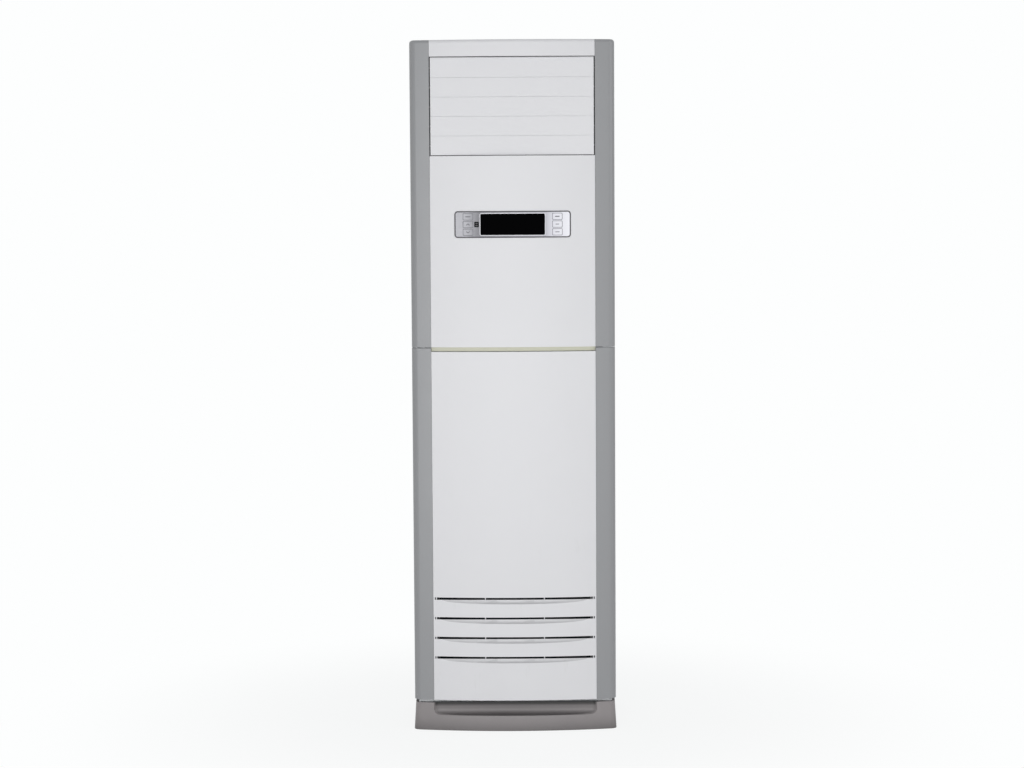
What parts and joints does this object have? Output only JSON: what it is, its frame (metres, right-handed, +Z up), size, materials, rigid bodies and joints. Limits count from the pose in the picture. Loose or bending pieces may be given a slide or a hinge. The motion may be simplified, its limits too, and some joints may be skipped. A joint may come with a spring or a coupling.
{
  "type": "floor standing air conditioner",
  "caption": "Tall floor standing air conditioner indoor unit with a louvred outlet at the top, a push-button console and a slotted intake panel over a plinth.",
  "frame": {"origin": "middle of the footprint, on the floor", "axes": "+Z up, the front faces -Y, +X is the right-hand side seen from the front"},
  "size_m": [0.503, 0.3149, 1.7],
  "materials": {
    "white_plastic": "satin white moulded plastic",
    "grey_column": "satin silver grey paint",
    "khaki_strip": "satin khaki plastic",
    "plinth_grey": "matte grey plastic",
    "console_metal": "brushed",
    "display_black": "gloss black",
    "button_grey": "satin silver paint",
    "circuit_board": "green board",
    "terminal_plastic": "matte black",
    "zinc_steel": "zinc coated",
    "casing_steel": "white powder coat",
    "cover_plastic": "satin white",
    "screw_steel": "zinc plated",
    "dark_plastic": "matte dark grey",
    "motor_metal": "grey paint",
    "fan_plastic": "matte grey",
    "filter_plastic": "matte blue grey",
    "fin_aluminium": "mill finish",
    "copper": "bare copper",
    "pan_plastic": "natural",
    "hose_plastic": "natural",
    "gland_rubber": "matte black"
  },
  "bodies": {
    "cabinet": {"header_panel": "white_plastic", "upper_front_panel": "white_plastic", "column_upper_left": "grey_column", "column_upper_right": "grey_column", "column_lower_left": "grey_column", "column_lower_right": "grey_column", "seam_strip": "khaki_strip", "plinth": "plinth_grey", "console_plate": "console_metal", "display_lens": "display_black", "control_board": "circuit_board", "main_board": "circuit_board", "terminal_block": "terminal_plastic", "base_plate": "zinc_steel", "cross_rail": "zinc_steel", "bulkhead": "zinc_steel", "inlet_plate": "zinc_steel", "scroll_housing": "zinc_steel", "coil_end_plates": "zinc_steel", "electric_box": "zinc_steel", "box_cover": "zinc_steel", "side_panel_left": "casing_steel", "side_panel_right": "casing_steel", "rear_panel": "casing_steel", "top_cover": "cover_plastic", "cabinet_screws": "screw_steel", "outlet_duct": "dark_plastic", "step_motors": "motor_metal", "fan_motor": "motor_metal", "evaporator_fins": "fin_aluminium", "evaporator_tubes": "copper", "refrigerant_pipes": "copper", "drain_pan": "pan_plastic", "drain_hose": "hose_plastic", "cord_gland": "gland_rubber"},
    "lower_panel": {"lower_front_panel": "white_plastic"},
    "filter": {"air_filter": "filter_plastic"},
    "louvre_blade_1": {"louvre_blade_1": "white_plastic"},
    "louvre_blade_2": {"louvre_blade_2": "white_plastic"},
    "louvre_blade_3": {"louvre_blade_3": "white_plastic"},
    "louvre_blade_4": {"louvre_blade_4": "white_plastic"},
    "louvre_blade_5": {"louvre_blade_5": "white_plastic"},
    "louvre_link": {"louvre_link": "dark_plastic"},
    "louvre_crank": {"louvre_crank": "dark_plastic"},
    "vane_1": {"vane_1": "dark_plastic"},
    "vane_2": {"vane_2": "dark_plastic"},
    "vane_3": {"vane_3": "dark_plastic"},
    "vane_4": {"vane_4": "dark_plastic"},
    "vane_5": {"vane_5": "dark_plastic"},
    "vane_6": {"vane_6": "dark_plastic"},
    "vane_link": {"vane_link": "dark_plastic"},
    "swing_crank": {"swing_crank": "dark_plastic"},
    "button_1": {"button_1": "button_grey"},
    "button_2": {"button_2": "button_grey"},
    "button_3": {"button_3": "button_grey"},
    "button_4": {"button_4": "button_grey"},
    "button_5": {"button_5": "button_grey"},
    "button_6": {"button_6": "button_grey"},
    "fan": {"fan_wheel": "fan_plastic", "fan_shaft": "screw_steel"}
  },
  "joints": [
    {"name": "louvre_3_turn", "type": "hinge", "parent": "cabinet", "child": "louvre_blade_3", "pos_m": [0, -0.12851, 1.5381], "axis": [-1, 0, 0], "range_deg": [0, 85]},
    {"name": "louvre_1_turn", "type": "hinge", "parent": "cabinet", "child": "louvre_blade_1", "pos_m": [0, -0.12851, 1.6323], "axis": [-1, 0, 0], "range_deg": [0, 85]},
    {"name": "louvre_2_turn", "type": "hinge", "parent": "cabinet", "child": "louvre_blade_2", "pos_m": [0, -0.12851, 1.5852], "axis": [-1, 0, 0], "range_deg": [0, 85]},
    {"name": "louvre_4_turn", "type": "hinge", "parent": "cabinet", "child": "louvre_blade_4", "pos_m": [0, -0.12851, 1.491], "axis": [-1, 0, 0], "range_deg": [0, 85]},
    {"name": "louvre_5_turn", "type": "hinge", "parent": "cabinet", "child": "louvre_blade_5", "pos_m": [0, -0.12851, 1.4439], "axis": [-1, 0, 0], "range_deg": [0, 85]},
    {"name": "louvre_link_turn", "type": "hinge", "parent": "louvre_blade_3", "child": "louvre_link", "pos_m": [0, -0.11451, 1.5381], "axis": [-1, 0, 0], "range_deg": [-85, 0]},
    {"name": "louvre_crank_turn", "type": "hinge", "parent": "cabinet", "child": "louvre_crank", "pos_m": [0, -0.10251, 1.60875], "axis": [-1, 0, 0], "range_deg": [0, 85]},
    {"name": "vane_3_turn", "type": "hinge", "parent": "cabinet", "child": "vane_3", "pos_m": [-0.033, -0.084, 1.54], "axis": [0, 0, 1], "range_deg": [-35, 35]},
    {"name": "vane_1_turn", "type": "hinge", "parent": "cabinet", "child": "vane_1", "pos_m": [-0.165, -0.084, 1.54], "axis": [0, 0, 1], "range_deg": [-35, 35]},
    {"name": "vane_2_turn", "type": "hinge", "parent": "cabinet", "child": "vane_2", "pos_m": [-0.099, -0.084, 1.54], "axis": [0, 0, 1], "range_deg": [-35, 35]},
    {"name": "vane_4_turn", "type": "hinge", "parent": "cabinet", "child": "vane_4", "pos_m": [0.033, -0.084, 1.54], "axis": [0, 0, 1], "range_deg": [-35, 35]},
    {"name": "vane_5_turn", "type": "hinge", "parent": "cabinet", "child": "vane_5", "pos_m": [0.099, -0.084, 1.54], "axis": [0, 0, 1], "range_deg": [-35, 35]},
    {"name": "vane_6_turn", "type": "hinge", "parent": "cabinet", "child": "vane_6", "pos_m": [0.165, -0.084, 1.54], "axis": [0, 0, 1], "range_deg": [-35, 35]},
    {"name": "vane_link_turn", "type": "hinge", "parent": "vane_3", "child": "vane_link", "pos_m": [-0.033, -0.07, 1.419], "axis": [0, 0, 1], "range_deg": [-35, 35]},
    {"name": "swing_crank_turn", "type": "hinge", "parent": "cabinet", "child": "swing_crank", "pos_m": [0, -0.084, 1.417], "axis": [0, 0, 1], "range_deg": [-35, 35]},
    {"name": "fan_spin", "type": "hinge", "parent": "cabinet", "child": "fan", "pos_m": [-0.015, 0, 0.35], "axis": [0, 1, 0], "continuous": true},
    {"name": "button_1_press", "type": "slide", "parent": "cabinet", "child": "button_1", "axis": [0, 1, 0], "range_m": [0, 0.0008], "stiffness_N_per_m": 600},
    {"name": "button_2_press", "type": "slide", "parent": "cabinet", "child": "button_2", "axis": [0, 1, 0], "range_m": [0, 0.0008], "stiffness_N_per_m": 600},
    {"name": "button_3_press", "type": "slide", "parent": "cabinet", "child": "button_3", "axis": [0, 1, 0], "range_m": [0, 0.0008], "stiffness_N_per_m": 600},
    {"name": "button_4_press", "type": "slide", "parent": "cabinet", "child": "button_4", "axis": [0, 1, 0], "range_m": [0, 0.0008], "stiffness_N_per_m": 600},
    {"name": "button_5_press", "type": "slide", "parent": "cabinet", "child": "button_5", "axis": [0, 1, 0], "range_m": [0, 0.0008], "stiffness_N_per_m": 600},
    {"name": "button_6_press", "type": "slide", "parent": "cabinet", "child": "button_6", "axis": [0, 1, 0], "range_m": [0, 0.0008], "stiffness_N_per_m": 600},
    {"name": "panel_tilt", "type": "hinge", "parent": "cabinet", "child": "lower_panel", "pos_m": [0, -0.12991, 0.934], "axis": [-1, 0, 0], "range_deg": [0, 20]},
    {"name": "filter_lift", "type": "slide", "parent": "cabinet", "child": "filter", "axis": [0, 0, 1], "range_m": [0, 0.018]}
  ],
  "couplings": [
    {"joint": "louvre_1_turn", "follows": "louvre_3_turn", "ratio": 1},
    {"joint": "louvre_2_turn", "follows": "louvre_3_turn", "ratio": 1},
    {"joint": "louvre_4_turn", "follows": "louvre_3_turn", "ratio": 1},
    {"joint": "louvre_5_turn", "follows": "louvre_3_turn", "ratio": 1},
    {"joint": "louvre_link_turn", "follows": "louvre_3_turn", "ratio": -1},
    {"joint": "louvre_crank_turn", "follows": "louvre_3_turn", "ratio": 1},
    {"joint": "vane_1_turn", "follows": "vane_3_turn", "ratio": 1},
    {"joint": "vane_2_turn", "follows": "vane_3_turn", "ratio": 1},
    {"joint": "vane_4_turn", "follows": "vane_3_turn", "ratio": 1},
    {"joint": "vane_5_turn", "follows": "vane_3_turn", "ratio": 1},
    {"joint": "vane_6_turn", "follows": "vane_3_turn", "ratio": 1},
    {"joint": "vane_link_turn", "follows": "vane_3_turn", "ratio": -1},
    {"joint": "swing_crank_turn", "follows": "vane_3_turn", "ratio": 1}
  ]
}
